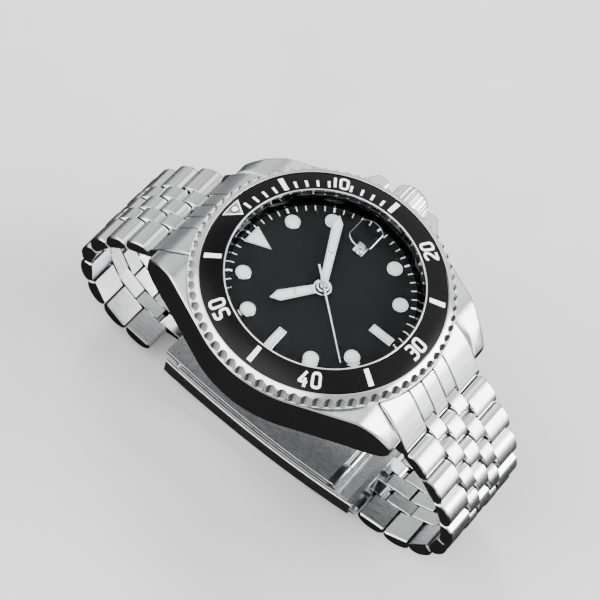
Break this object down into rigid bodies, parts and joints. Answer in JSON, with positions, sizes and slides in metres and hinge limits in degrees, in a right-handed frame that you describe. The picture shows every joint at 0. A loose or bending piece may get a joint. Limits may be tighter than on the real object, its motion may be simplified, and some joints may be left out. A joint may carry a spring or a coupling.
{
  "type": "dive watch",
  "caption": "Wrist dive watch: turning bezel with black insert, pull-out fluted crown, three hands, date, automatic movement, five-column steel bracelet and folding clasp.",
  "frame": {"origin": "centre of the case back's flat outer face", "axes": "+Z out of the crystal, +Y towards 12 o'clock, +X towards the crown at 3 o'clock"},
  "size_m": [0.0479, 0.079, 0.047],
  "materials": {
    "brushed_steel": "satin brushed stainless steel",
    "case_back_steel": "circular brushed stainless steel",
    "polished_steel": "polished stainless steel",
    "hand_steel": "polished steel rims around white lume",
    "black_rubber": "soft seal",
    "crystal_glass": "clear flat crystal with a polished chamfer",
    "black_insert": "gloss black insert with white bars and numerals",
    "black_dial": "gloss black lacquer with white markers",
    "lume_white": "white luminous compound",
    "white_enamel": "white printed date disc",
    "movement_steel": "rhodium-plated bridges",
    "brass": "gilt brass wheels",
    "blued_steel": "blued alloy"
  },
  "bodies": {
    "head": {"mid_case": "brushed_steel", "case_back": "case_back_steel", "case_back_gasket": "black_rubber", "crystal": "crystal_glass", "crystal_gasket": "black_rubber", "date_magnifier": "crystal_glass", "rehaut_ring": "black_dial", "bezel_click_spring": "polished_steel", "crown_tube": "polished_steel", "dial": "black_dial", "movement_ring": "movement_steel", "main_plate": "movement_steel", "train_bridge": "movement_steel", "balance_cock": "movement_steel", "balance_spring": "blued_steel", "end_link_12": "brushed_steel", "end_link_6": "brushed_steel", "spring_bar_12": "polished_steel", "spring_bar_6": "polished_steel"},
    "bezel": {"bezel_ring": "polished_steel", "bezel_insert": "black_insert", "bezel_pearl": "lume_white"},
    "setting_carriage": {"setting_lever": "polished_steel"},
    "crown_and_stem": {"crown": "polished_steel", "winding_stem": "polished_steel"},
    "seconds_train": {"fourth_wheel": "brass", "seconds_hand": "hand_steel"},
    "minutes_train": {"center_wheel": "brass", "minute_hand": "hand_steel"},
    "hours_train": {"hour_wheel": "brass", "hour_hand": "hand_steel"},
    "third_wheel_arbor": {"third_wheel": "brass"},
    "escape_arbor": {"escape_wheel": "movement_steel"},
    "minute_wheel_arbor": {"minute_wheel": "brass"},
    "barrel_arbor": {"barrel": "brass"},
    "calendar": {"date_ring": "white_enamel"},
    "winding_rotor": {"rotor": "movement_steel"},
    "balance": {"balance_wheel": "brass"},
    "pallets": {"pallet_fork": "movement_steel"},
    "body_link_row_12_1": {"link_row_12_1": "brushed_steel"},
    "body_link_row_12_2": {"link_row_12_2": "brushed_steel"},
    "body_link_row_12_3": {"link_row_12_3": "brushed_steel"},
    "body_link_row_12_4": {"link_row_12_4": "brushed_steel"},
    "body_link_row_12_5": {"link_row_12_5": "brushed_steel"},
    "body_link_row_12_6": {"link_row_12_6": "brushed_steel"},
    "body_link_row_12_7": {"link_row_12_7": "brushed_steel"},
    "body_link_row_12_8": {"link_row_12_8": "brushed_steel"},
    "body_link_row_6_1": {"link_row_6_1": "brushed_steel"},
    "body_link_row_6_2": {"link_row_6_2": "brushed_steel"},
    "body_link_row_6_3": {"link_row_6_3": "brushed_steel"},
    "body_link_row_6_4": {"link_row_6_4": "brushed_steel"},
    "body_link_row_6_5": {"link_row_6_5": "brushed_steel"},
    "body_link_row_6_6": {"link_row_6_6": "brushed_steel"},
    "body_link_row_6_7": {"link_row_6_7": "brushed_steel"},
    "body_link_row_6_8": {"link_row_6_8": "brushed_steel"},
    "clasp_inner": {"clasp_inner_blade": "brushed_steel", "clasp_spring_bar": "polished_steel"},
    "clasp_outer": {"clasp_outer_blade": "brushed_steel"},
    "clasp": {"clasp_cover": "brushed_steel"},
    "clasp_lock": {"clasp_latch": "brushed_steel"}
  },
  "joints": [
    {"name": "bezel_turn", "type": "hinge", "parent": "head", "child": "bezel", "pos_m": [0, 0, 0], "axis": [0, 0, 1], "continuous": true},
    {"name": "crown_pull", "type": "slide", "parent": "head", "child": "setting_carriage", "axis": [1, 0, 0], "range_m": [0, 0.002]},
    {"name": "crown_turn", "type": "hinge", "parent": "setting_carriage", "child": "crown_and_stem", "pos_m": [0, 0, 0.0056], "axis": [1, 0, 0], "continuous": true},
    {"name": "seconds_turn", "type": "hinge", "parent": "head", "child": "seconds_train", "pos_m": [0, 0, 0], "axis": [0, 0, -1], "continuous": true},
    {"name": "minutes_turn", "type": "hinge", "parent": "head", "child": "minutes_train", "pos_m": [0, 0, 0], "axis": [0, 0, -1], "continuous": true},
    {"name": "hours_turn", "type": "hinge", "parent": "head", "child": "hours_train", "pos_m": [0, 0, 0], "axis": [0, 0, -1], "continuous": true},
    {"name": "third_wheel_turn", "type": "hinge", "parent": "head", "child": "third_wheel_arbor", "pos_m": [0.00368, -0.00212, 0], "axis": [0, 0, -1], "continuous": true},
    {"name": "escape_turn", "type": "hinge", "parent": "head", "child": "escape_arbor", "pos_m": [-0.00071, -0.00404, 0], "axis": [0, 0, -1], "continuous": true},
    {"name": "minute_wheel_turn", "type": "hinge", "parent": "head", "child": "minute_wheel_arbor", "pos_m": [0, -0.003, 0], "axis": [0, 0, -1], "continuous": true},
    {"name": "barrel_turn", "type": "hinge", "parent": "head", "child": "barrel_arbor", "pos_m": [-0.00453, 0.00453, 0], "axis": [0, 0, -1], "continuous": true},
    {"name": "date_turn", "type": "hinge", "parent": "head", "child": "calendar", "pos_m": [0, 0, 0], "axis": [0, 0, -1], "continuous": true},
    {"name": "rotor_turn", "type": "hinge", "parent": "head", "child": "winding_rotor", "pos_m": [0, 0, 0], "axis": [0, 0, 1], "continuous": true},
    {"name": "balance_swing", "type": "hinge", "parent": "head", "child": "balance", "pos_m": [-0.0044, -0.0076, 0], "axis": [0, 0, 1], "range_deg": [-135, 135], "stiffness_Nm_per_rad": 0.0000006},
    {"name": "pallet_rock", "type": "hinge", "parent": "head", "child": "pallets", "pos_m": [-0.00269, -0.00595, 0], "axis": [0, 0, 1], "range_deg": [-5, 5]},
    {"name": "row_12_1_hinge", "type": "hinge", "parent": "head", "child": "body_link_row_12_1", "pos_m": [0, 0.0254, 0.0013], "axis": [1, 0, 0], "range_deg": [0, 16]},
    {"name": "row_12_2_hinge", "type": "hinge", "parent": "body_link_row_12_1", "child": "body_link_row_12_2", "pos_m": [0, 0.03017, -0.00157], "axis": [1, 0, 0], "range_deg": [0, 14]},
    {"name": "row_12_3_hinge", "type": "hinge", "parent": "body_link_row_12_2", "child": "body_link_row_12_3", "pos_m": [0, 0.03411, -0.00551], "axis": [1, 0, 0], "range_deg": [0, 14]},
    {"name": "row_12_4_hinge", "type": "hinge", "parent": "body_link_row_12_3", "child": "body_link_row_12_4", "pos_m": [0, 0.03698, -0.01028], "axis": [1, 0, 0], "range_deg": [0, 17]},
    {"name": "row_12_5_hinge", "type": "hinge", "parent": "body_link_row_12_4", "child": "body_link_row_12_5", "pos_m": [0, 0.03833, -0.01569], "axis": [1, 0, 0], "range_deg": [0, 22]},
    {"name": "row_12_6_hinge", "type": "hinge", "parent": "body_link_row_12_5", "child": "body_link_row_12_6", "pos_m": [0, 0.03755, -0.0212], "axis": [1, 0, 0], "range_deg": [0, 26]},
    {"name": "row_12_7_hinge", "type": "hinge", "parent": "body_link_row_12_6", "child": "body_link_row_12_7", "pos_m": [0, 0.03444, -0.02582], "axis": [1, 0, 0], "range_deg": [0, 26]},
    {"name": "row_12_8_hinge", "type": "hinge", "parent": "body_link_row_12_7", "child": "body_link_row_12_8", "pos_m": [0, 0.02962, -0.0286], "axis": [1, 0, 0], "range_deg": [0, 21]},
    {"name": "row_6_1_hinge", "type": "hinge", "parent": "head", "child": "body_link_row_6_1", "pos_m": [0, -0.0254, 0.0013], "axis": [-1, 0, 0], "range_deg": [0, 16]},
    {"name": "row_6_2_hinge", "type": "hinge", "parent": "body_link_row_6_1", "child": "body_link_row_6_2", "pos_m": [0, -0.03017, -0.00157], "axis": [-1, 0, 0], "range_deg": [0, 14]},
    {"name": "row_6_3_hinge", "type": "hinge", "parent": "body_link_row_6_2", "child": "body_link_row_6_3", "pos_m": [0, -0.03411, -0.00551], "axis": [-1, 0, 0], "range_deg": [0, 14]},
    {"name": "row_6_4_hinge", "type": "hinge", "parent": "body_link_row_6_3", "child": "body_link_row_6_4", "pos_m": [0, -0.03698, -0.01028], "axis": [-1, 0, 0], "range_deg": [0, 17]},
    {"name": "row_6_5_hinge", "type": "hinge", "parent": "body_link_row_6_4", "child": "body_link_row_6_5", "pos_m": [0, -0.03833, -0.01569], "axis": [-1, 0, 0], "range_deg": [0, 22]},
    {"name": "row_6_6_hinge", "type": "hinge", "parent": "body_link_row_6_5", "child": "body_link_row_6_6", "pos_m": [0, -0.03755, -0.0212], "axis": [-1, 0, 0], "range_deg": [0, 26]},
    {"name": "row_6_7_hinge", "type": "hinge", "parent": "body_link_row_6_6", "child": "body_link_row_6_7", "pos_m": [0, -0.03444, -0.02582], "axis": [-1, 0, 0], "range_deg": [0, 26]},
    {"name": "row_6_8_hinge", "type": "hinge", "parent": "body_link_row_6_7", "child": "body_link_row_6_8", "pos_m": [0, -0.02962, -0.0286], "axis": [-1, 0, 0], "range_deg": [0, 21]},
    {"name": "clasp_hinge", "type": "hinge", "parent": "body_link_row_12_8", "child": "clasp_inner", "pos_m": [0, 0.02411, -0.02948], "axis": [1, 0, 0], "range_deg": [0, 60]},
    {"name": "blade_hinge", "type": "hinge", "parent": "clasp_inner", "child": "clasp_outer", "pos_m": [0, -0.0165, -0.03021], "axis": [-1, 0, 0], "range_deg": [0, 120]},
    {"name": "cover_hinge", "type": "hinge", "parent": "clasp_outer", "child": "clasp", "pos_m": [0, 0.0172, -0.03048], "axis": [1, 0, 0], "range_deg": [0, 125]},
    {"name": "latch_hinge", "type": "hinge", "parent": "clasp", "child": "clasp_lock", "pos_m": [0, -0.02195, -0.03084], "axis": [-1, 0, 0], "range_deg": [0, 90]}
  ],
  "couplings": [
    {"joint": "minutes_turn", "follows": "seconds_turn", "ratio": 0.016667},
    {"joint": "hours_turn", "follows": "seconds_turn", "ratio": 0.0013889},
    {"joint": "third_wheel_turn", "follows": "seconds_turn", "ratio": -0.13333},
    {"joint": "escape_turn", "follows": "seconds_turn", "ratio": -12},
    {"joint": "minute_wheel_turn", "follows": "seconds_turn", "ratio": -0.0055556},
    {"joint": "barrel_turn", "follows": "seconds_turn", "ratio": -0.0023148},
    {"joint": "pallet_rock", "follows": "balance_swing", "ratio": 0.037037}
  ]
}
